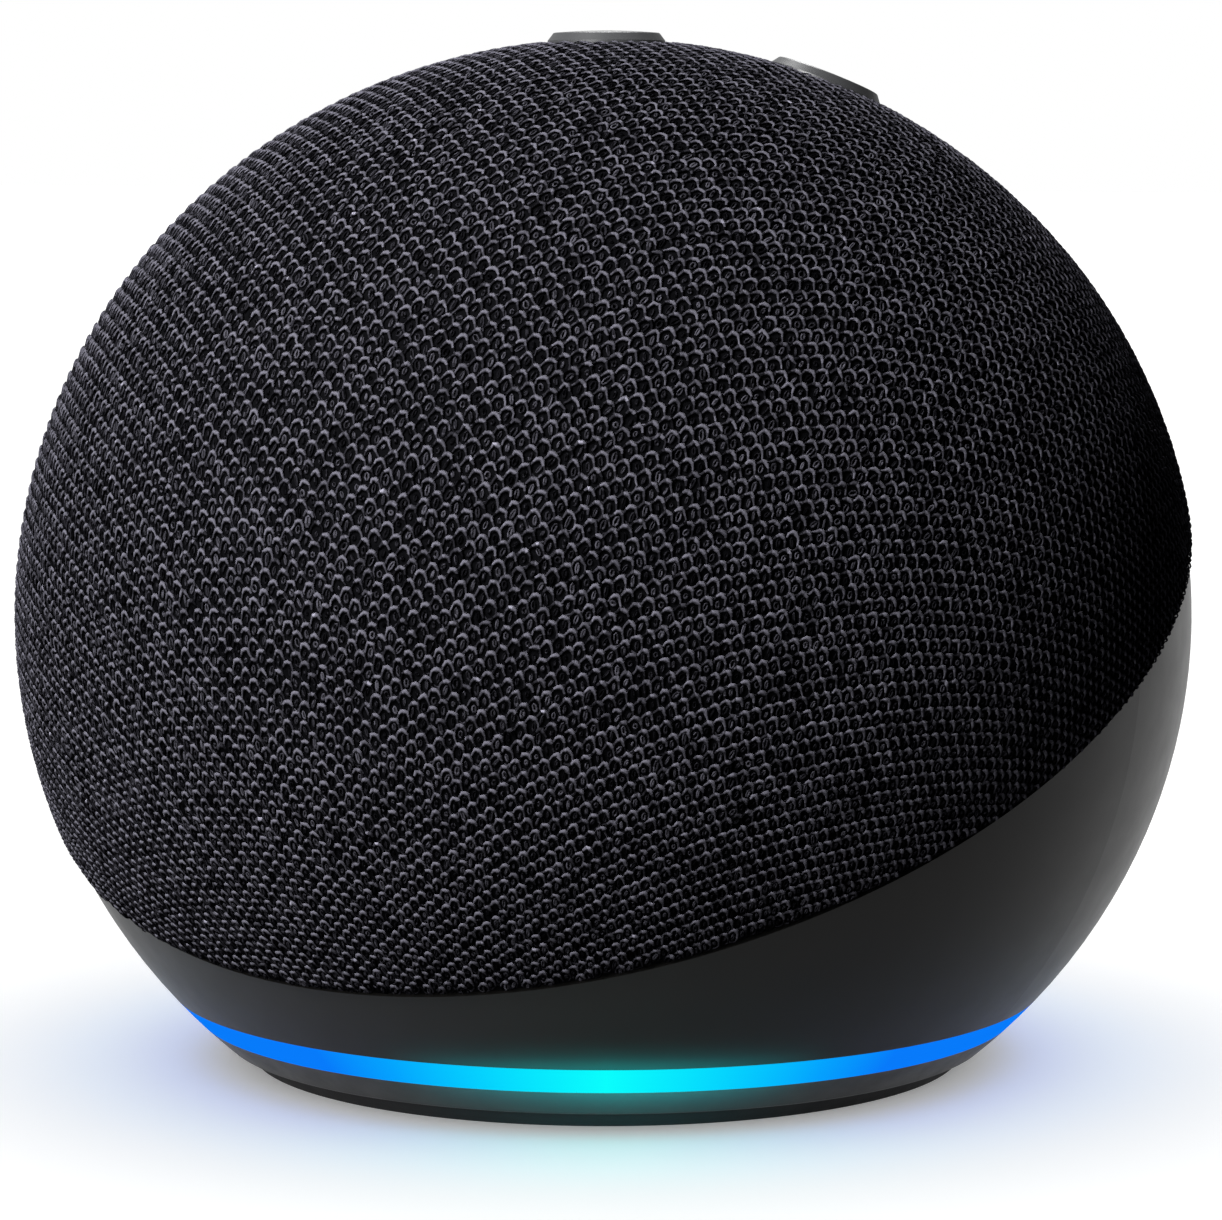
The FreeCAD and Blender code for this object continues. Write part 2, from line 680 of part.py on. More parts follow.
def box_ears(radius, y0, y1):
    """Round ears at the box's corners, for the screws that close it."""
    return [rod(radius, (sx * (BOX_HALF - EAR_IN), y0, z), (sx * (BOX_HALF - EAR_IN), y1, z))
            for sx in (-1, 1) for z in (BOX_FLOOR + 1.2, BOX_TOP - 1.2)]


def speaker_box_front():
    """Baffle that holds the loudspeaker, with its side walls."""
    shell = box_block(0, BAFFLE_Y, BOX_SPLIT)
    shell = joined([shell] + box_ears(EAR_R, BOX_SPLIT - 5, BOX_SPLIT))
    cuts = [box_block(BOX_WALL, BAFFLE_Y + 2.2, BOX_SPLIT + 1)]
    cuts += [facing_front(upright(17.6, 0, 0, -5, 3))]
    cuts += [facing_front(pilot) for pilot in around_flange(0.87, -6, 1)]
    cuts += box_ears(0.8, BOX_SPLIT - 4.5, BOX_SPLIT)
    return without(shell, cuts)


def speaker_box_gasket():
    ring = box_block(0.2, BOX_SPLIT, BOX_SPLIT + GASKET_T).cut(box_block(BOX_WALL - 0.2, -60, 60))
    return without(ring, box_ears(EAR_R, BOX_SPLIT, BOX_SPLIT + 1))


def speaker_box_rear():
    shell = box_block(0, BOX_SPLIT + GASKET_T, BOX_BACK)
    shell = shell.cut(box_block(BOX_WALL, BOX_SPLIT, BOX_BACK - BOX_WALL))
    shell = joined([shell] + box_ears(EAR_R, BOX_SPLIT + GASKET_T, BOX_SPLIT + 4))
    tabs = [upright(3.6, x, y, BOX_FLOOR, BOX_FLOOR + 2.4) for x, y in BOX_POSTS[:2]]
    cuts = box_ears(1.0, BOX_SPLIT - 1, BOX_SPLIT + 6)
    cuts += [upright(1.3, x, y, BOX_FLOOR - 1, BOX_FLOOR + 5) for x, y in BOX_POSTS[:2]]
    cuts += [rod(0.85, (x, BOX_BACK - 3, WIRE_Z), (x, BOX_BACK + 1, WIRE_Z)) for x in WIRE_X]
    return without(joined([shell] + tabs), cuts)


def box_screws():
    """Screws that close the two halves of the box."""
    made = []
    for ear in box_ears(1, BOX_SPLIT + 4, BOX_SPLIT + 5):
        centre = ear.CenterOfMass
        one = screw(*EAR_SCREW)
        one.Placement = Placement(Vector(centre.x, BOX_SPLIT + 4, centre.z),
                                  Rotation(Vector(1, 0, 0), 90))
        made.append(one)
    return group(made)


def box_post_screws():
    """Screws through the box's floor into the housing's posts."""
    return screws_down(BOX_POSTS[:2], BOX_FLOOR + 2.4, *POST_SCREW)


# ---- electronics ----------------------------------------------------------------------

def main_board():
    board = upright(BOARD_R, 0, 0, BOARD_Z, BOARD_TOP)
    cuts = [upright(1.1, x, y, 0, 30) for x, y in BOARD_SCREWS]
    cuts += [upright(3.4, x, y, 0, 30) for x, y in BOX_POSTS]
    return without(board, cuts)


def on_board(x0, x1, y0, y1, height):
    return box(x0, x1, y0, y1, BOARD_TOP, BOARD_TOP + height)


def processor():
    return on_board(-19, -5, -13, 1, 1.2)


def thermal_pad():
    z = BOARD_TOP + 1.2
    return box(-18, -6, -12, 0, z, z + 0.5)


def heat_sink():
    """Finned block over the processor."""
    z = BOARD_TOP + 1.7
    block = box(-22, -2, -16, 4, z, z + 6.5)
    gaps = [-20 + FIN_PITCH * k for k in range(7)]
    return without(block, [box(x, x + FIN_GAP, -17, 5, z + 1.6, z + 9) for x in gaps])


def shield_can():
    can = on_board(5, 21, -14, 4, 2.4)
    inside = on_board(5.3, 20.7, -13.7, 3.7, 2.1)
    vents = [upright(0.5, 8 + 2.5 * i, -11 + 2.5 * j, 10, 30) for i in range(5) for j in range(6)]
    return without(can, [inside] + vents)


def radio_chip():
    return on_board(9, 17, -9, -1, 1.0)


def board_inductors():
    return group(rounded_plate(x, x + 5, BOARD_TOP, BOARD_TOP + 3, 0.5, 11, 16)
                 for x in (-12, -4, 4))


def board_capacitors():
    can = turned([(0, 0), (2.4, 0), (2.5, 0.8), (2.2, 1.1), (2.5, 1.4), (2.5, 5.0), (0, 5.0)])
    places = [(-14, 21), (13, 14), (14, 20), (24, -13)]
    return group(can.translated(Vector(x, y, BOARD_TOP)) for x, y in places)


def board_connectors():
    return group([on_board(RIBBON_X - 2.1, RIBBON_X + 2.1, 27.5, 31.0, 2.0),
                  on_board(-29, -24, -6, 0, 3.4)])


def board_screws():
    return screws_down(BOARD_SCREWS, BOARD_TOP, *BOARD_SCREW)


def power_jack():
    """Barrel socket with its centre pin, on the main board."""
    half = POWER_SNOUT + 0.6
    body = box(POWER_X - half, POWER_X + half, 22.5, JACK_FRONT, BOARD_TOP, INLET_Z + half)
    body = body.cut(box(-60, 60, BOARD_R, 60, 0, BOARD_TOP + 0.02))
    snout = rod(POWER_SNOUT, (POWER_X, 30, INLET_Z), (POWER_X, POCKET_Y, INLET_Z))
    bore = rod(POWER_BORE, (POWER_X, POCKET_Y - 10, INLET_Z), (POWER_X, POCKET_Y + 1, INLET_Z))
    tip = POCKET_Y - 1.5
    pin = rod(1.0, (POWER_X, POCKET_Y - 11, INLET_Z), (POWER_X, tip, INLET_Z))
    pin = pin.makeFillet(0.4, [e for e in pin.Edges if abs(e.BoundBox.YMin - tip) < 1e-3])
    return joined([joined([body, snout]).cut(bore), pin])


def audio_jack():
    """Round socket for a 3.5 mm plug."""
    half = AUDIO_SNOUT + 0.6
    body = box(AUDIO_X - half, AUDIO_X + half, 21.0, JACK_FRONT, BOARD_TOP, INLET_Z + half)
    snout = rod(AUDIO_SNOUT, (AUDIO_X, 30, INLET_Z), (AUDIO_X, POCKET_Y, INLET_Z))
    bore = rod(AUDIO_BORE, (AUDIO_X, POCKET_Y - 14, INLET_Z), (AUDIO_X, POCKET_Y + 1, INLET_Z))
    return joined([body, snout]).cut(bore)


def antennas():
    """Two thin radio antennas on the sides of the speaker box."""
    right = box(BOX_HALF, BOX_HALF + 0.8, -8, 12, 40, 52)
    left = box(-BOX_HALF - 0.8, -BOX_HALF, -8, 12, 40, 52)
    return group([left, right])


def antenna_cables():
    """Fine coaxial cables from the antennas down to the main board."""
    made = []
    for sx in (-1, 1):
        x = sx * (BOX_HALF + 1.4)
        made.append(round_wire([(x, 2, 46), (x, 2, 26), (sx * 27.0, 4, 20),
                                (sx * 27.0, 4, BOARD_TOP)], 0.45, 2.5))
    return group(made)


def ribbon_cable():
    """Flat cable from the main board up to the buttons' circuit."""
    half = 0.15
    width = 4.0
    y0, z0 = BOX_BACK + 7.2, BOARD_TOP + 2.0
    y1, z1 = y0, 55.0
    y2, z2 = BOX_BACK + 2.5, 66.0
    lean = math.atan2(y1 - y2, z2 - z1)
    side = Vector(0, math.cos(lean), math.sin(lean)) * half
    shift = half * math.tan(lean / 2)
    end = Vector(0, y2, z2)
    outline = [Vector(0, y0 - half, z0), Vector(0, y0 + half, z0),
               Vector(0, y1 + half, z1 + shift), end + side, end - side,
               Vector(0, y1 - half, z1 - shift)]
    face = Part.Face(Part.makePolygon(outline + outline[:1]))
    strip = face.extrude(Vector(width, 0, 0)).translated(Vector(RIBBON_X - width / 2, 0, 0))
    bend = [e for e in strip.Edges
            if abs(e.CenterOfMass.z - z1) < 0.5 and abs(e.Length - width) < 1e-6]
    return strip.makeFillet(6, bend)


def speaker_wires():
    """The pair from the speaker box to the main board."""
    return group(round_wire([(x, BOX_BACK - 2.6, WIRE_Z), (x, BOX_BACK + 3.4, WIRE_Z),
                             (x, BOX_BACK + 3.4, BOARD_TOP)], 0.8, 2.2) for x in WIRE_X)


def base_screws():
    """Screws from under the foot, through the base plate into the housing."""
    return screws_up(BASE_SCREWS, FOOT_H + 1.2, *BASE_SCREW)


# ---- files ----------------------------------------------------------------------------

NODES = [
    fabric_cover, grille_shell, lower_housing, rear_panel, deck, socket_bay, light_ring,
    light_guide, base_plate, rubber_foot, led_board, ring_leds, button_flex, dome_switches,
    button_carrier, carrier_screws, microphones, microphone_gaskets, driver_basket, driver_top_plate,
    driver_magnet, driver_yoke, voice_coil, speaker_cone, dust_cap, surround, spider,
    driver_gasket, driver_screws, speaker_box_front, speaker_box_gasket, speaker_box_rear,
    box_screws, box_post_screws, main_board, processor, thermal_pad, heat_sink, shield_can,
    radio_chip, board_inductors, board_capacitors, board_connectors, board_screws,
    power_jack, audio_jack, antennas, antenna_cables, ribbon_cable, speaker_wires,
    base_screws,
]


def save(name, shape):
    if not shape.isValid() or not shape.Solids:
        print("CHECK", name, "valid", shape.isValid(), "solids", len(shape.Solids))
    print(name, len(shape.Solids), round(shape.Volume, 1))
    shape.exportStep(f"parts/{name}.step")


for make in NODES:
    save(make.__name__, make())
for button_name in BUTTONS:
    save(button_name, button(button_name))
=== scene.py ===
"""Looks of a ball-shaped smart speaker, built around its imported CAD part.

Lengths are in millimetres in the shape code and become metres where a mesh is made.
"""

import json
import math

import bpy
import numpy as np
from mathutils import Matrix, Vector


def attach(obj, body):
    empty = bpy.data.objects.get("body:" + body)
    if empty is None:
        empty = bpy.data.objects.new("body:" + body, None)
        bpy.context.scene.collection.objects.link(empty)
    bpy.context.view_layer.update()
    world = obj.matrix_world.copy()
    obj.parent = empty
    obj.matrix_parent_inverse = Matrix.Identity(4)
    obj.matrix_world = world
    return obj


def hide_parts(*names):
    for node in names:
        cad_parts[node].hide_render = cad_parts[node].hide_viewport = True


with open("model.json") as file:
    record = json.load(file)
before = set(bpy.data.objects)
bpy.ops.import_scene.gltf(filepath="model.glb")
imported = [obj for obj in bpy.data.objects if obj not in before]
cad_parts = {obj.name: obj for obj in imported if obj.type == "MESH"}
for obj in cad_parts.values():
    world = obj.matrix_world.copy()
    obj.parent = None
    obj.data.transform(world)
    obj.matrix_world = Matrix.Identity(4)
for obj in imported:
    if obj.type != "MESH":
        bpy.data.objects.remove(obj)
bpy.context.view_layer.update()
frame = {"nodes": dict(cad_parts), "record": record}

MM = 0.001
SEED = 484

# ---- sizes that the CAD part shares ---------------------------------------------------

HALF_WIDTH = 50.0            # knit cover's ellipsoid
HALF_HEIGHT = 48.56
CENTRE_Z = 37.6
SEAM_TILT = math.radians(28.74)
SEAM_OFFSET = -2.35
COVER_EDGE = 0.15            # cover's edge above the seam plane
HOLE_RADIUS = 5.25           # cover's holes round the buttons
BUTTONS = [(0.0, 0.0), (-15.1, 11.0), (15.1, 11.0), (0.0, 22.0)]

# ---- the knit -------------------------------------------------------------------------

COLUMN = 1.88                # one loop to the next along a row, in the flat cloth
ROW = 0.81                   # one row to the next; rows are staggered by half a column
STRETCH = (49.5, 0.009, 0.004)   # flat radius = s0 * angle * (1 + s1 * angle^2 + s2 * angle^4)
FLAT_EDGE = 84.5             # flat radius that surely reaches past the seam
SEAM_ROLL = (0.28, 0.28, 0.3)    # distance from the edge at which the cloth starts to roll
HOLE_ROLL = (0.5, 0.4, 0.25)     # in, the roll's radius, and how far it goes on inwards
HOLE_REACH = 2.0             # how far round a hole its roll is looked for
LOOPS_PAST_EDGE = 0.35       # loops whose middles lie further past an edge are left out
BACKING_PAST_EDGE = 0.6      # and the backing ends here
BACKING_LIFT = -0.34         # the backing lies under the loops
# Yarn greys, dark to light: random tone, and painted light and shade by place on each loop.
YARN_TONES_AND_SHADES = (0.0006, 0.0015, 0.0045, 0.010, 0.018, 0.030, 0.065)
GLINT = len(YARN_TONES_AND_SHADES) - 1  # painted glint: the lightest yarn goes only on a few arch tops
GLINT_SHARE = 0.005
YARN_FLAT = 0.4              # a pressed yarn's height over its width

# Right half of a loop, from its top bar round to its hidden foot: across, up, lift over the
# cover's surface, the yarn's radius and the grey that starts there. The greys are painted light
# and shade: lightest on the lit top bar, darker down the legs and darkest on the hidden foot.
LOOP = [(0.00, 0.80, -0.08, 0.190, 5.6), (0.26, 0.73, -0.10, 0.170, 4.7),
        (0.46, 0.44, -0.16, 0.105, 2.2), (0.60, 0.10, -0.22, 0.090, 1.9),
        (0.62, -0.14, -0.25, 0.090, 1.4), (0.40, -0.52, -0.27, 0.085, 1.2),
        (0.00, -0.78, -0.28, 0.085, 1.2)]

# How much one loop differs from the next: standard deviations, for sizes as a share of the size.
LOOP_SPREAD = {"lean": 0.06, "size": 0.04, "wander": 0.042, "radius": 0.09, "lift": 0.02,
               "grey": 0.6, "face_grey": 0.8}

# The finer yarn inside each loop: half its width and height, its lift, its tilt and what the
# lift is kept within, its radius and its grey, which is kept low as painted shade deep in the loop.
INNER = {"across": 0.13, "up": 0.34, "lift": -0.23, "tilt": 0.03, "lowest": -0.30,
         "highest": -0.18, "radius": 0.11, "grey": 2.0}
INNER_SPREAD = {"shift": 0.07, "lean": 0.25, "across": 0.35, "up": 0.25, "lift": 0.03,
                "radius": 0.15, "grey": 0.9, "face_grey": 0.7}

POLE = np.array([0.0, -math.sin(SEAM_TILT), math.cos(SEAM_TILT)])
ACROSS = np.array([1.0, 0.0, 0.0])
ALONG = np.cross(POLE, ACROSS)
CENTRE = np.array([0.0, 0.0, CENTRE_Z])
AXES = np.array([HALF_WIDTH, HALF_WIDTH, HALF_HEIGHT])


def unit(vectors):
    return vectors / np.maximum(np.linalg.norm(vectors, axis=-1, keepdims=True), 1e-12)


def on_body(u, v):
    """Points and outward normals on the cover for places on the flat cloth."""
    angles = np.linspace(0, 2.0, 400)
    s0, s1, s2 = STRETCH
    radii = s0 * angles * (1 + s1 * angles ** 2 + s2 * angles ** 4)
    r = np.hypot(u, v)
    angle = np.interp(r, radii, angles)
    side = (u[..., None] * ACROSS + v[..., None] * ALONG) / np.maximum(r, 1e-9)[..., None]
    toward = np.cos(angle)[..., None] * POLE + np.sin(angle)[..., None] * side
    return CENTRE + AXES * toward, unit(toward / AXES)


def tuck(points, normals, height, away, fold, radius, reach):
    """Rolls what lies past an edge inwards.

    height is each point's distance from the edge, away the direction that it grows in,
    fold where the roll starts, radius the roll's, and reach how far it goes on inwards.
    """
    past = np.clip(fold - height, 0, None)
    turn = np.clip(past / radius, 0, math.pi / 2)
    down = np.clip(past - radius * math.pi / 2, 0, reach)
    away = unit(away - (away * normals).sum(-1, keepdims=True) * normals)
    back = (past - radius * np.sin(turn))[..., None] * away
    inward = (radius * (1 - np.cos(turn)) + down)[..., None] * normals
    rolled = np.cos(turn)[..., None] * normals - np.sin(turn)[..., None] * away
    return points + back - inward, rolled


def cloth(u, v, lift):
    """Places cloth on the body: u and v on the flat cloth, lift over the cover's surface.

    The cloth rolls in at the seam and round the buttons.
    """
    points, normals = on_body(u, v)
    height = (points - CENTRE) @ POLE - SEAM_OFFSET - COVER_EDGE
    points, normals = tuck(points, normals, height, np.broadcast_to(POLE, points.shape),
                           *SEAM_ROLL)
    for x, y in BUTTONS:
        near = np.hypot(points[..., 0] - x, points[..., 1] - y) < HOLE_RADIUS + HOLE_REACH
        near &= points[..., 2] > CENTRE_Z
        if near.any():
            axis, axis_normal = button_axis(x, y)
            offset = points[near] - axis
            offset -= (offset @ axis_normal)[..., None] * axis_normal
            height = np.linalg.norm(offset, axis=-1) - HOLE_RADIUS
            points[near], normals[near] = tuck(points[near], normals[near], height,
                                               unit(offset), *HOLE_ROLL)
    return points + lift[..., None] * normals, normals


def button_axis(x, y):
    z = math.sqrt(1 - (x * x + y * y) / HALF_WIDTH ** 2) * HALF_HEIGHT
    return CENTRE + np.array([x, y, z]), unit(np.array([x, y, z]) / AXES ** 2)


def edge_room(u, v):
    """Distance in mm from places on the flat cloth to the nearest edge of the cover."""
    points, _ = on_body(u, v)
    room = (points - CENTRE) @ POLE - SEAM_OFFSET - COVER_EDGE
    for x, y in BUTTONS:
        axis, normal = button_axis(x, y)
        offset = points - axis
        offset -= (offset @ normal)[..., None] * normal
        hole = np.linalg.norm(offset, axis=-1) - HOLE_RADIUS
        room = np.where(points[..., 2] > CENTRE_Z, np.minimum(room, hole), room)
    return room


def lattice():
    """The middles of all the knit's loops on the flat cloth."""
    rows = np.arange(-math.ceil(FLAT_EDGE / ROW), math.ceil(FLAT_EDGE / ROW) + 1)
    columns = np.arange(-math.ceil(FLAT_EDGE / COLUMN), math.ceil(FLAT_EDGE / COLUMN) + 1)
    row, column = np.meshgrid(rows, columns, indexing="ij")
    u = (column + 0.5 * (row % 2)) * COLUMN
    v = row * ROW
    inside = np.hypot(u, v) < FLAT_EDGE
    u, v = u[inside], v[inside]
    kept = edge_room(u, v) > -LOOPS_PAST_EDGE
    return u[kept], v[kept]


def yarn_rings(u, v, lift, radius, sides):
    """Closed yarns through points on the flat cloth: arrays of loops by points."""
    middle, normals = cloth(u, v, lift)
    along = unit(np.roll(middle, -1, 1) - np.roll(middle, 1, 1))
    across = unit(np.cross(along, normals))
    out = np.cross(across, along)
    turns = 2 * math.pi * np.arange(sides) / sides
    skin = (middle[:, :, None, :]
            + radius[..., None, None] * (np.cos(turns)[:, None] * across[:, :, None, :]
                                         + YARN_FLAT * np.sin(turns)[:, None] * out[:, :, None, :]))
    loops, steps = u.shape
    first = np.arange(loops)[:, None, None] * steps * sides
    step = np.arange(steps)[None, :, None] * sides
    next_step = (np.arange(steps)[None, :, None] + 1) % steps * sides
    side = np.arange(sides)[None, None, :]
    next_side = (side + 1) % sides
    quads = np.stack(np.broadcast_arrays(first + step + side, first + next_step + side,
                                         first + next_step + next_side,
                                         first + step + next_side), -1)
    return skin.reshape(-1, 3), quads.reshape(-1, 4)


def leaned(x, y, lean):
    """Flat places turned by a lean in radians."""
    return x * np.cos(lean) - y * np.sin(lean), x * np.sin(lean) + y * np.cos(lean)


def outer_yarns(rng, u, v):
    """The loops themselves, from the right half that LOOP gives and its mirror image."""
    count = len(u)
    left_half = [(-x, *rest) for x, *rest in reversed(LOOP[1:-1])]
    x, y, lift, radius, level = np.array(LOOP + left_half).T
    steps, sides = len(x), 4
    level = (level + np.roll(level, -1)) / 2
    spread = LOOP_SPREAD
    lean = rng.normal(0, spread["lean"], (count, 1))
    size = rng.normal(1, spread["size"], (2, count, 1))
    wander = rng.normal(0, spread["wander"], (2, count, steps))
    x, y = leaned(size[0] * x + wander[0], size[1] * y + wander[1], lean)
    radius = radius * rng.normal(1, spread["radius"], (count, steps))
    lift = lift - np.abs(rng.normal(0, spread["lift"], (count, 1)))
    points, quads = yarn_rings(u[:, None] + x, v[:, None] + y, lift, radius, sides)
    # Painted light and shade from LOOP's greys, with random tone added per loop and per face.
    level = (level + rng.normal(0, spread["grey"], (count, 1))
             + rng.normal(0, spread["face_grey"], (count, steps)))
    level = np.clip(np.round(level), 0, GLINT - 1)
    # Painted glints: the lightest grey on a few top bars.
    glint = rng.random((count, steps)) < GLINT_SHARE
    top_bar = np.arange(steps) % (steps - 1) == 0
    level = np.where(glint & top_bar, GLINT, level)
    return points, quads, np.repeat(level.ravel(), sides)


def inner_yarns(rng, u, v):
    """A small oval of finer yarn deep inside each loop, in darker greys as painted shade."""
    count = len(u)
    steps, sides = 7, 3
    t = 2 * math.pi * np.arange(steps) / steps
    inner, spread = INNER, INNER_SPREAD
    shift = rng.normal(0, spread["shift"], (2, count, 1))
    lean = rng.normal(0, spread["lean"], (count, 1))
    x = inner["across"] * rng.normal(1, spread["across"], (count, 1)) * np.sin(t)
    y = inner["up"] * rng.normal(1, spread["up"], (count, 1)) * np.cos(t)
    x, y = leaned(x, y, lean)
    x, y = x + shift[0], y + shift[1]
    lift = rng.normal(inner["lift"], spread["lift"], (count, 1)) + inner["tilt"] * np.cos(t)
    lift = np.clip(lift, inner["lowest"], inner["highest"])
    radius = np.full(x.shape, inner["radius"]) * rng.normal(1, spread["radius"], (count, 1))
    points, quads = yarn_rings(u[:, None] + x, v[:, None] + y, lift, radius, sides)
    level = (rng.normal(inner["grey"], spread["grey"], (count, 1))
             + rng.normal(0, spread["face_grey"], (count, steps)))
    level = np.clip(np.round(level), 0, GLINT - 2)
    return points, quads, np.repeat(level.ravel(), sides)


def knit_loops():
    """The face of the knit: a net of yarn loops, with a finer yarn deep inside each."""
    rng = np.random.default_rng(SEED)
    u, v = lattice()
    outer, outer_quads, outer_slots = outer_yarns(rng, u, v)
    inner, inner_quads, inner_slots = inner_yarns(rng, u, v)
    points = np.concatenate([outer, inner])
    quads = np.concatenate([outer_quads, inner_quads + len(outer)])
    slots = np.concatenate([outer_slots, inner_slots])
    yarns = [yarn(index) for index in range(len(YARN_TONES_AND_SHADES))]
    return mesh_piece("knit_loops", points, quads, yarns, slots)


def knit_backing():
    """The knit's fine inner layer, one smooth sheet under the loops; its near-black colour is
    painted shade in the holes.
    """
    rings, spokes = 96, 480
    r = np.linspace(0, 1, rings + 1)[1:] * FLAT_EDGE
    turn = 2 * math.pi * np.arange(spokes) / spokes
    u = np.append(r[:, None] * np.cos(turn), 0)
    v = np.append(r[:, None] * np.sin(turn), 0)
    ring = np.arange(rings - 1)[:, None] * spokes
    spoke = np.arange(spokes)[None, :]
    next_spoke = (spoke + 1) % spokes
    quads = np.stack(np.broadcast_arrays(ring + spoke, ring + spokes + spoke,
                                         ring + spokes + next_spoke, ring + next_spoke),
                     -1).reshape(-1, 4)
    even = np.arange(0, spokes, 2)
    middle = np.stack([np.full_like(even, rings * spokes), even, even + 1, (even + 2) % spokes], -1)
    quads = np.concatenate([quads, middle])
    room = edge_room(u, v)
    quads = quads[(room[quads] > -BACKING_PAST_EDGE).all(1)]
    points, _ = cloth(u, v, np.full(u.shape, BACKING_LIFT))
    return mesh_piece("knit_backing", points, quads, [shaded_backing_cloth()])


def mesh_piece(name, points, quads, materials, slots=None):
    """An object from points in mm and quads, with only the points that are used."""
    used, index = np.unique(quads, return_inverse=True)
    points, quads = points[used], index.reshape(quads.shape)
    mesh = bpy.data.meshes.new(name)
    mesh.vertices.add(len(points))
    mesh.vertices.foreach_set("co", (points * MM).ravel())
    mesh.loops.add(quads.size)
    mesh.loops.foreach_set("vertex_index", quads.ravel().astype(np.int32))
    mesh.polygons.add(len(quads))
    mesh.polygons.foreach_set("loop_start", np.arange(0, quads.size, 4, dtype=np.int32))
    if slots is not None:
        mesh.polygons.foreach_set("material_index", slots.astype(np.int32))
    mesh.update()
    for material in materials:
        mesh.materials.append(material)
    mesh.shade_smooth()
    piece = bpy.data.objects.new(name, mesh)
    bpy.context.scene.collection.objects.link(piece)
    return piece


# ---- materials ------------------------------------------------------------------------

# The lit ring is cyan in the direction RING_FACING, which counts from the front towards +X, and
# turns blue within RING_BLUE on both sides. Stops: share of RING_BLUE, and the colour there.
RING_FACING = math.radians(30.5)
RING_BLUE = math.radians(45)
RING_STOPS = [(0.0, (0.003, 0.985, 0.972)), (0.38, (0.0015, 0.60, 0.985)),
              (0.62, (0.0015, 0.36, 0.985)), (0.86, (0.0024, 0.195, 0.956))]
FLOOR_STOPS = [(0.0, (0.0, 0.95, 0.9)), (0.38, (0.0, 0.5, 0.8)), (0.86, (0.0, 0.27, 0.62))]
SPILL_STOPS = [(0.0, (0.003, 0.985, 0.972)), (0.3, (0.001, 0.5, 0.55)),
               (0.62, (0, 0.002, 0.006))]


class Tree:
    """A material's nodes, with short calls for what the materials share."""

    def __init__(self, name):
        self.material = bpy.data.materials.new(name)
        self.material.use_nodes = True
        self.nodes = self.material.node_tree.nodes
        self.links = self.material.node_tree.links
        self.shader = self.nodes["Principled BSDF"]
        self.place = self.nodes.new("ShaderNodeTexCoord").outputs["Object"]

    def set(self, **values):
        """Fixed values on the shader; an underscore in a name stands for a space."""
        for name, value in values.items():
            socket = self.shader.inputs[name.replace("_", " ")]
            socket.default_value = (*value, 1) if hasattr(value, "__len__") else value

    def add(self, kind, inputs=(), **settings):
        node = self.nodes.new("ShaderNode" + kind)
        for name, value in settings.items():
            setattr(node, name, value)
        for name, value in dict(inputs).items():
            if isinstance(value, bpy.types.NodeSocket):
                self.links.new(value, node.inputs[name])
            else:
                node.inputs[name].default_value = value
        return node

    def noise(self, size, detail=2.0, roughness=0.5, stretch=None):
        """Noise whose blotches are about size mm; stretch scales the place first."""
        place = self.place
        if stretch:
            place = self.add("Mapping", {"Vector": place, "Scale": stretch}).outputs["Vector"]
        return self.add("TexNoise", {"Vector": place, "Scale": 1 / (size * MM),
                                     "Detail": detail, "Roughness": roughness}).outputs["Fac"]

    def spread(self, value, low, high, start=0.3, end=0.7):
        """value between start and end becomes low to high."""
        return self.add("MapRange", {"Value": value, "From Min": start, "From Max": end,
                                     "To Min": low, "To Max": high}).outputs["Result"]

    def tone(self, value, dark, light):
        mix = self.add("Mix", {"Factor": value}, data_type="RGBA")
        mix.inputs[6].default_value = (*dark, 1)
        mix.inputs[7].default_value = (*light, 1)
        return mix.outputs[2]

    def join(self, name, socket):
        self.links.new(socket, self.shader.inputs[name])

    def bump(self, height, depth):
        """Relief depth mm deep from a height of 0 to 1."""
        return self.add("Bump", {"Height": height, "Distance": depth * MM}).outputs["Normal"]


def scaled(colour, factor):
    return tuple(min(1.0, c * factor) for c in colour)


def surface(name, colour, roughness, metallic=0.0, drift=0.12, drift_size=9.0, polish=0.06,
            grain=0.25, depth=0.004, stretch=None, **fixed):
    """Plain moulded or machined surface: slow colour drift, uneven polish and a fine grain."""
    tree = Tree(name)
    tree.set(Metallic=metallic, **fixed)
    slow = tree.spread(tree.noise(drift_size, 3.0), 0, 1)
    tree.join("Base Color", tree.tone(slow, scaled(colour, 1 - drift), scaled(colour, 1 + drift)))
    patches = tree.noise(drift_size / 3, 4.0, 0.6, stretch)
    tree.join("Roughness", tree.spread(patches, roughness - polish, roughness + polish))
    tree.join("Normal", tree.bump(tree.noise(grain, 2.0, 0.6, stretch), depth))
    return tree.material


def yarn(index):
    """One of the yarn's greys, which are lit and shaded copies of one yarn as painted light and
    shade, with the faint fuzz of a spun thread's fibres.
    """
    grey = YARN_TONES_AND_SHADES[index]
    tree = Tree(f"yarn_{index}")
    tree.set(Base_Color=(grey, grey * 0.97, grey * 1.2), Roughness=0.7,
             Specular_IOR_Level=0.0, Sheen_Roughness=0.5)
    fibres = tree.noise(0.12, 3.0, 0.6)
    tree.join("Sheen Weight", tree.spread(fibres, 0.0, grey * 0.4))
    return tree.material


def shaded_backing_cloth():
    tree = Tree("shaded_backing_cloth")
    fine = tree.noise(0.3, 3.0)
    tree.set(Specular_IOR_Level=0.0)
    # Partly the inner layer's own dark colour, partly painted shade: near-black so the holes read
    # as deep shade.
    tree.join("Base Color", tree.tone(fine, (0.0004, 0.0004, 0.0005), (0.0012, 0.0012, 0.0014)))
    tree.join("Roughness", tree.spread(fine, 0.8, 0.95))
    tree.join("Normal", tree.bump(fine, 0.05))
    return tree.material


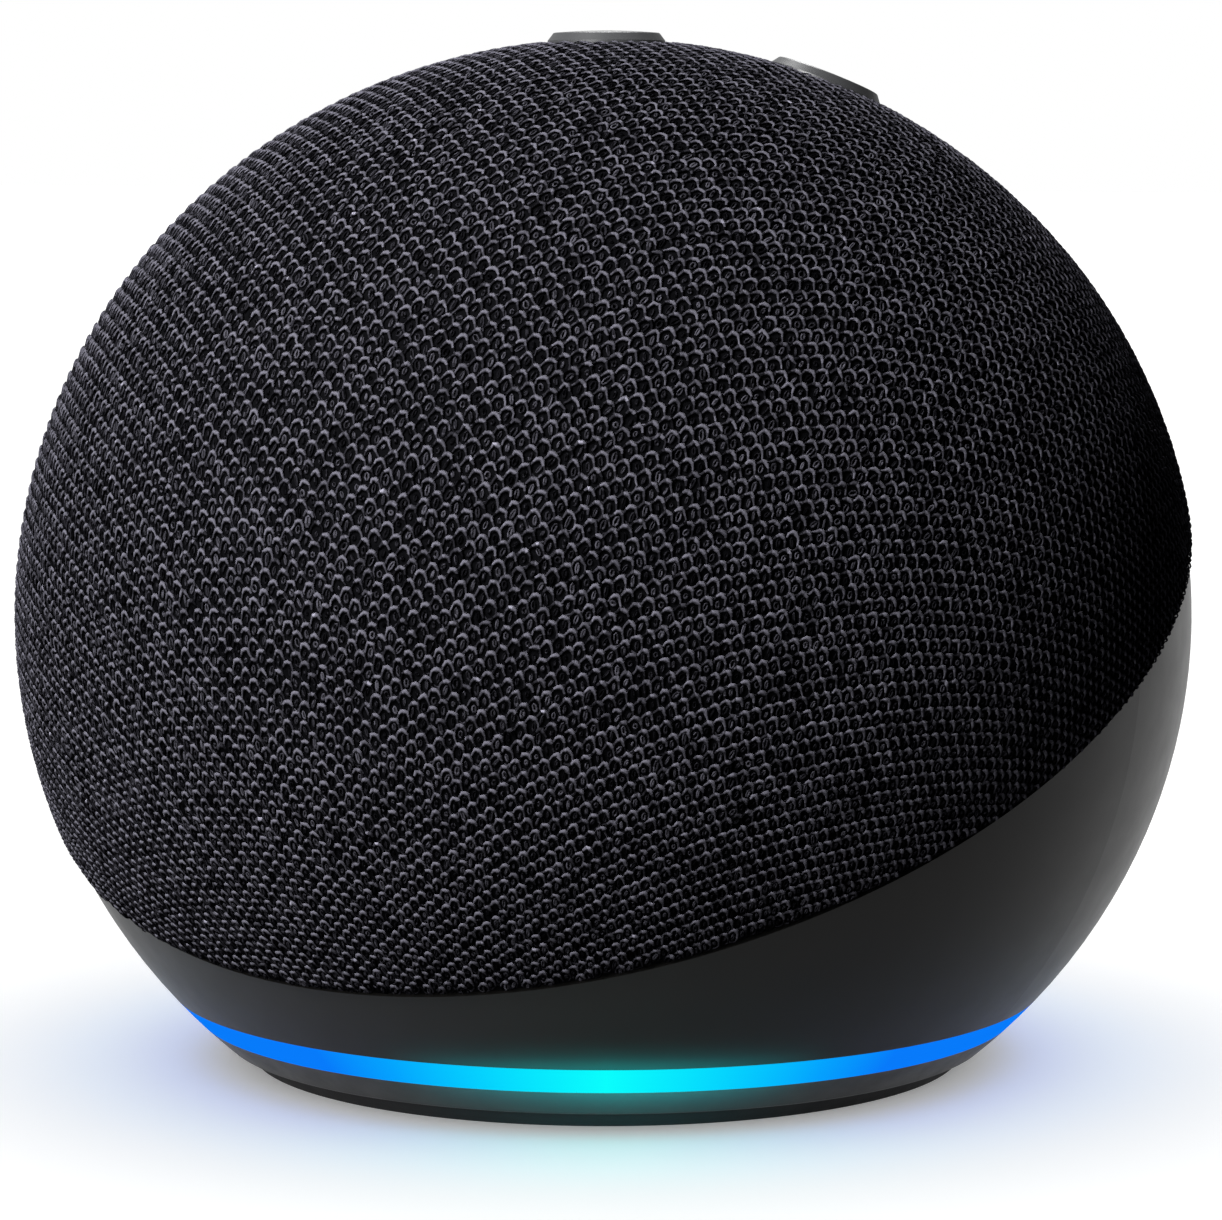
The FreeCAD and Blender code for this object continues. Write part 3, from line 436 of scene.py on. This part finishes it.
def ring_colour(tree, stops=RING_STOPS):
    """The stops' colours by direction, from RING_FACING round to both sides."""
    turned = tree.add("Mapping", {"Vector": tree.place,
                                  "Rotation": (0, 0, math.pi / 2 - RING_FACING)})
    parts = tree.add("SeparateXYZ", {"Vector": turned.outputs["Vector"]}).outputs
    angle = tree.add("Math", {0: parts["Y"], 1: parts["X"]}, operation="ARCTAN2").outputs[0]
    off = tree.add("Math", {0: angle}, operation="ABSOLUTE").outputs[0]
    share = tree.add("Math", {0: off, 1: RING_BLUE}, operation="DIVIDE",
                     use_clamp=True).outputs[0]
    ramp = tree.add("ValToRGB", {"Fac": share})
    elements = ramp.color_ramp.elements
    while len(elements) < len(stops):
        elements.new(0.5)
    for element, (at, colour) in zip(elements, stops):
        element.position = at
        element.color = (*colour, 1)
    return ramp.outputs["Color"]


def lit_ring():
    tree = Tree("ring_diffuser")
    tree.set(Base_Color=(0.0, 0.004, 0.006), Roughness=0.5, Specular_IOR_Level=0.0,
             Emission_Strength=1.0)
    tree.join("Emission Color", ring_colour(tree))
    return tree.material


# Colour, roughness and what differs from surface()'s usual values, for each plain slot.
SURFACES = {
    "black_plastic": ((0.012, 0.012, 0.013), 0.5, {"depth": 0.01}),
    "charcoal_plastic": ((0.0075, 0.0072, 0.0068), 0.38,
                         {"drift": 0.06, "polish": 0.02, "grain": 0.18, "depth": 0.0025,
                          "Specular_IOR_Level": 0.09}),
    "clear_plastic": ((0.9, 0.93, 0.95), 0.1, {"drift": 0.02, "Transmission_Weight": 0.9}),
    "base_plastic": ((0.014, 0.0143, 0.0146), 0.42,
                     {"drift": 0.08, "grain": 0.2, "depth": 0.003, "Specular_IOR_Level": 0.2}),
    "button_plastic": ((0.014, 0.0143, 0.015), 0.42,
                       {"drift": 0.08, "polish": 0.05, "grain": 0.2, "depth": 0.003,
                        "Specular_IOR_Level": 0.2}),
    "foot_rubber": ((0.007, 0.007, 0.0075), 0.7,
                    {"grain": 0.3, "depth": 0.02, "Specular_IOR_Level": 0.15}),
    "white_board": ((0.75, 0.76, 0.74), 0.35, {"drift": 0.04}),
    "led_resin": ((0.85, 0.85, 0.72), 0.25, {"drift": 0.05}),
    "flex_circuit": ((0.45, 0.22, 0.05), 0.3, {"drift": 0.15}),
    "switch_steel": ((0.6, 0.6, 0.6), 0.25, {"metallic": 1.0}),
    "screw_steel": ((0.35, 0.35, 0.36), 0.3, {"metallic": 1.0, "grain": 0.12}),
    "gold_can": ((0.7, 0.55, 0.25), 0.3, {"metallic": 1.0}),
    "gasket_rubber": ((0.015, 0.015, 0.015), 0.8, {"grain": 0.2, "depth": 0.04}),
    "pressed_steel": ((0.03, 0.03, 0.03), 0.4, {}),
    "zinc_steel": ((0.55, 0.56, 0.58), 0.35, {"metallic": 1.0, "drift": 0.2}),
    "ferrite": ((0.06, 0.06, 0.065), 0.55, {"grain": 0.15, "depth": 0.01}),
    "copper_wire": ((0.55, 0.25, 0.12), 0.3,
                    {"metallic": 1.0, "grain": 0.2, "stretch": (0.05, 1, 0.05), "depth": 0.05}),
    "cone_paper": ((0.02, 0.02, 0.022), 0.8, {"grain": 0.4, "depth": 0.05}),
    "spider_cloth": ((0.4, 0.28, 0.12), 0.7, {"grain": 0.3, "depth": 0.06}),
    "green_board": ((0.01, 0.09, 0.04), 0.3, {"drift": 0.25, "drift_size": 4}),
    "chip_black": ((0.02, 0.02, 0.02), 0.5, {"grain": 0.1}),
    "thermal_silicone": ((0.35, 0.38, 0.45), 0.7, {}),
    "sink_aluminium": ((0.7, 0.7, 0.72), 0.35,
                       {"metallic": 1.0, "stretch": (1, 1, 0.08), "depth": 0.01}),
    "tinned_steel": ((0.6, 0.6, 0.58), 0.3, {"metallic": 1.0}),
    "can_aluminium": ((0.65, 0.65, 0.67), 0.25, {"metallic": 1.0, "stretch": (1, 1, 0.1)}),
    "connector_plastic": ((0.7, 0.67, 0.58), 0.4, {}),
    "jack_plastic": ((0.012, 0.012, 0.012), 0.4, {}),
    "antenna_film": ((0.03, 0.05, 0.04), 0.3, {"drift": 0.3}),
    "cable_jacket": ((0.03, 0.03, 0.03), 0.45, {}),
    "wire_red": ((0.3, 0.02, 0.02), 0.4, {}),
}


def slot_material(slot):
    if slot == "ring_diffuser":
        return lit_ring()
    colour, roughness, others = SURFACES[slot]
    return surface(slot, colour, roughness, **others)


def paint_nodes():
    """Gives every carried-over CAD node the material of its slot."""
    made = {}
    for row in frame["record"]["subparts"]:
        slot = row["material_slot"]
        if slot == "knit_fabric":     # the made knit replaces that node
            continue
        if slot not in made:
            made[slot] = slot_material(slot)
        node = frame["nodes"][row["node"]]
        node.data.materials.clear()
        node.data.materials.append(made[slot])


# ---- the scene ------------------------------------------------------------------------

# Directions are an azimuth and an elevation in degrees; azimuth 0 is the speaker's front.
CAMERA_FROM = (30.5, 6.13)
CAMERA_DISTANCE = 370.0
CAMERA_TARGET = (0.327, 0.193, 37.84)

# Softboxes: direction, distance, side in mm, and power in W.
SOFTBOXES = {"key": (-8, 40, 250, 110, 3.6), "fill": (0, 5, 250, 110, 0.75),
             "back": (210.5, 58, 920, 300, 14.0)}

ROOM = 0.22                           # what shows in the plastic away from the backdrop
BACKDROP = (-0.507, 0.862, 0.0)       # where the white backdrop stands
BACKDROP_LIGHT = 0.7
BACKDROP_FADE = (0.0, 0.95)           # cosines to it between which the room fades into it
FROM_BELOW = 0.25                     # the pale table's soft light on the underside
HORIZON_FADE = (-0.02, 0.02)          # the same, for straight down

FLOOR_HALF = 6000.0
FLOOR_SUNK = -0.02                    # clear of the foot's underside, which lies at 0
FLOOR_EVEN = 0.24                     # the sweep's own even light
FLOOR_SUN = 3.35                      # power in W per square metre
FLOOR_SUN_SPREAD = math.radians(130)

# The ring's unseen light bands: radii, heights in mm and strength.
FLOOR_GLOW = ((44.0, 41.0), (10.0, 7.5), 1.1)
HOUSING_GLOW = ((38.6, 36.8), (6.0, 1.7), 34.0)


def direction(azimuth, elevation):
    a, e = math.radians(azimuth), math.radians(elevation)
    return Vector((math.sin(a) * math.cos(e), -math.cos(a) * math.cos(e), math.sin(e)))


def camera():
    back = direction(*CAMERA_FROM)
    data = bpy.data.cameras.new("camera")
    data.lens = 128.0
    data.sensor_width = 36.0
    made = bpy.data.objects.new("camera", data)
    made.location = (Vector(CAMERA_TARGET) + back * CAMERA_DISTANCE) * MM
    made.rotation_mode = "QUATERNION"
    made.rotation_quaternion = (-back).to_track_quat("-Z", "Y")
    data.clip_start, data.clip_end = 0.02, 100.0
    bpy.context.scene.collection.objects.link(made)
    bpy.context.scene.camera = made


def lights_only(light, receivers, skips=()):
    """Keeps a light to some objects, or off others, as flags and cutters do in a studio."""
    group = bpy.data.collections.new(light.name + "_receivers")
    for one in (*receivers, *skips):
        group.objects.link(one)
    for link in group.collection_objects:
        link.light_linking.link_state = "INCLUDE" if receivers else "EXCLUDE"
    light.light_linking.receiver_collection = group


def softbox(name, place, size, watts):
    """A square soft light aimed at the speaker's middle."""
    data = bpy.data.lights.new(name, "AREA")
    data.energy = watts
    data.size = size * MM
    made = bpy.data.objects.new(name, data)
    made.location = place * MM
    made.rotation_mode = "QUATERNION"
    aim = Vector((0, 0, CENTRE_Z)) - place
    made.rotation_quaternion = aim.to_track_quat("-Z", "Y")
    bpy.context.scene.collection.objects.link(made)
    return made


def world_shade(nodes, links, way, low, high, fade):
    """A background whose strength goes from low to high as directions near the given way."""
    place = nodes.new("ShaderNodeTexCoord")
    toward = nodes.new("ShaderNodeVectorMath")
    toward.operation = "DOT_PRODUCT"
    toward.inputs[1].default_value = way
    links.new(place.outputs["Generated"], toward.inputs[0])
    share = nodes.new("ShaderNodeMapRange")
    share.interpolation_type = "SMOOTHSTEP"
    for name, value in zip(("From Min", "From Max", "To Min", "To Max"), (*fade, low, high)):
        share.inputs[name].default_value = value
    links.new(toward.outputs["Value"], share.inputs["Value"])
    shade = nodes.new("ShaderNodeBackground")
    links.new(share.outputs["Result"], shade.inputs["Strength"])
    return shade.outputs[0]


def studio_world():
    """A white sweep to look at, a gradient to be mirrored and a soft light from below."""
    world = bpy.data.worlds.new("studio")
    world.use_nodes = True
    nodes, links = world.node_tree.nodes, world.node_tree.links
    plain = nodes["Background"]
    plain.inputs["Color"].default_value = (1, 1, 1, 1)
    path = nodes.new("ShaderNodeLightPath")
    shade = world_shade(nodes, links, BACKDROP, ROOM, BACKDROP_LIGHT, BACKDROP_FADE)
    below = world_shade(nodes, links, (0, 0, -1), 0.0, FROM_BELOW, HORIZON_FADE)
    for ray, other in (("Is Diffuse Ray", below), ("Is Camera Ray", plain.outputs[0])):
        mix = nodes.new("ShaderNodeMixShader")
        links.new(path.outputs[ray], mix.inputs[0])
        links.new(shade, mix.inputs[1])
        links.new(other, mix.inputs[2])
        shade = mix.outputs[0]
    links.new(shade, nodes["World Output"].inputs["Surface"])
    bpy.context.scene.world = world


def studio(ground):
    """Softboxes for the speaker alone, and a wide soft lamp for the floor alone."""
    studio_world()
    bpy.context.scene.view_settings.view_transform = "Standard"
    for name, (azimuth, elevation, distance, side, watts) in SOFTBOXES.items():
        place = Vector((0, 0, CENTRE_Z)) + distance * direction(azimuth, elevation)
        box = softbox(name, place, side, watts)
        box.visible_camera = False
        lights_only(box, [], [ground])
    data = bpy.data.lights.new("floor_sun", "SUN")
    data.energy = FLOOR_SUN
    data.angle = FLOOR_SUN_SPREAD
    sun = bpy.data.objects.new("floor_sun", data)
    sun.location = (0, 0, 2)
    bpy.context.scene.collection.objects.link(sun)
    lights_only(sun, [ground])


def floor():
    half = FLOOR_HALF
    points = np.array([[-half, -half, FLOOR_SUNK], [half, -half, FLOOR_SUNK],
                       [half, half, FLOOR_SUNK], [-half, half, FLOOR_SUNK]])
    tree = Tree("floor")
    slow = tree.noise(400, 2.0)
    tree.join("Base Color", tree.tone(slow, (0.93, 0.93, 0.93), (0.95, 0.95, 0.95)))
    tree.join("Roughness", tree.spread(slow, 0.7, 0.8))
    tree.set(Emission_Color=(1, 1, 1), Emission_Strength=FLOOR_EVEN, Specular_IOR_Level=0.0)
    made = mesh_piece("floor", points, np.array([[0, 1, 2, 3]]), [tree.material])
    made.visible_diffuse = False
    return made


def glow_band(name, radii, heights, strength, stops, receivers):
    """An unseen band of the lit ring's light, for its spill on what is near."""
    spokes = 96
    turn = 2 * math.pi * np.arange(spokes) / spokes
    points = np.array([(r * math.cos(a), r * math.sin(a), z)
                       for r, z in zip(radii, heights) for a in turn])
    k = np.arange(spokes)
    quads = np.stack([k, (k + 1) % spokes, (k + 1) % spokes + spokes, k + spokes], -1)
    tree = Tree(name)
    light = tree.add("Emission", {"Color": ring_colour(tree, stops), "Strength": strength})
    clear = tree.add("BsdfTransparent")
    both = tree.add("AddShader", {0: light.outputs[0], 1: clear.outputs[0]})
    tree.links.new(both.outputs[0], tree.nodes["Material Output"].inputs["Surface"])
    made = mesh_piece(name, points, quads, [tree.material])
    made.visible_camera = False
    made.visible_glossy = False
    lights_only(made, receivers)


def build():
    paint_nodes()
    backing = knit_backing()
    loops = knit_loops()
    for piece in (backing, loops):
        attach(piece, "speaker")
    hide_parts("fabric_cover")
    camera()
    ground = floor()
    studio(ground)
    nodes = frame["nodes"]
    glow_band("floor_glow", *FLOOR_GLOW, FLOOR_STOPS, [ground])
    glow_band("housing_glow", *HOUSING_GLOW, SPILL_STOPS,
              [nodes["lower_housing"], nodes["rear_panel"], nodes["base_plate"],
               nodes["rubber_foot"]])


build()
